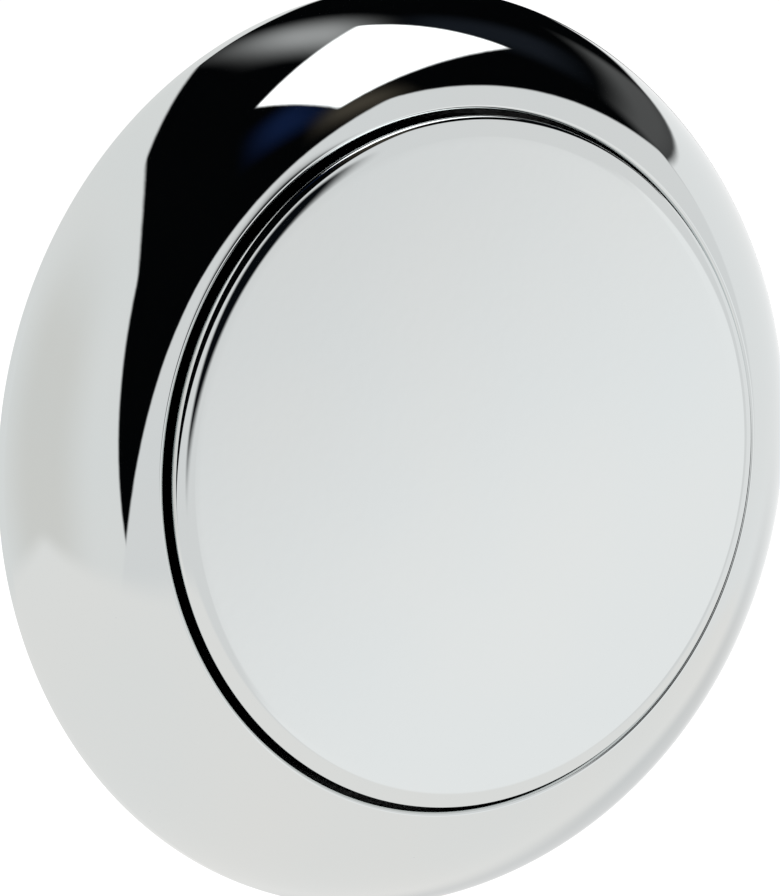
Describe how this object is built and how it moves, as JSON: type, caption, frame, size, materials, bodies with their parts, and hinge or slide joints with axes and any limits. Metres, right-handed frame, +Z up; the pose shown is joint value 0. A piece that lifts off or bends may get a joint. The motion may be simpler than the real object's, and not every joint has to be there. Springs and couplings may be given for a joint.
{
  "type": "round push button",
  "caption": "Round chrome push button with a domed bezel and a flat face, on a threaded panel barrel with a backnut, a bellows and a spigot for an air hose.",
  "frame": {"origin": "centre of the seat against the panel, on the button's axis", "axes": "+Y along the axis from the button's face into the panel, +Z up, so the button faces -Y"},
  "size_m": [0.073, 0.048, 0.073],
  "materials": {
    "chrome_plate": "bright chrome plate on moulded plastic",
    "white_acetal": "moulded acetal, semi gloss",
    "black_rubber": "moulded rubber, matt",
    "black_moulding": "moulded plastic, fine spark texture",
    "nut_moulding": "moulded plastic, satin",
    "slip_ring": "natural polyethylene, waxy"
  },
  "bodies": {
    "housing": {"barrel": "black_moulding", "bezel": "chrome_plate", "end_cap": "black_moulding", "sealing_washer": "black_rubber", "bellows": "black_rubber"},
    "button": {"button_cap": "chrome_plate", "plunger": "white_acetal"},
    "slip_washer": {"back_washer": "slip_ring"},
    "nut": {"backnut": "nut_moulding"}
  },
  "joints": [
    {"name": "button_press", "type": "slide", "parent": "housing", "child": "button", "axis": [0, 1, 0], "range_m": [0, 0.0053], "stiffness_N_per_m": 2000, "springref_m": -0.0025, "deforming": ["bellows"]},
    {"name": "washer_slide", "type": "slide", "parent": "housing", "child": "slip_washer", "axis": [0, 1, 0], "range_m": [-0.0045, 0.0075]},
    {"name": "backnut_turn", "type": "hinge", "parent": "slip_washer", "child": "nut", "pos_m": [0, 0, 0], "axis": [0, 1, 0], "range_deg": [-540, 900]}
  ],
  "couplings": [
    {"joint": "washer_slide", "follows": "backnut_turn", "m_per_rad": 0.00047746}
  ]
}
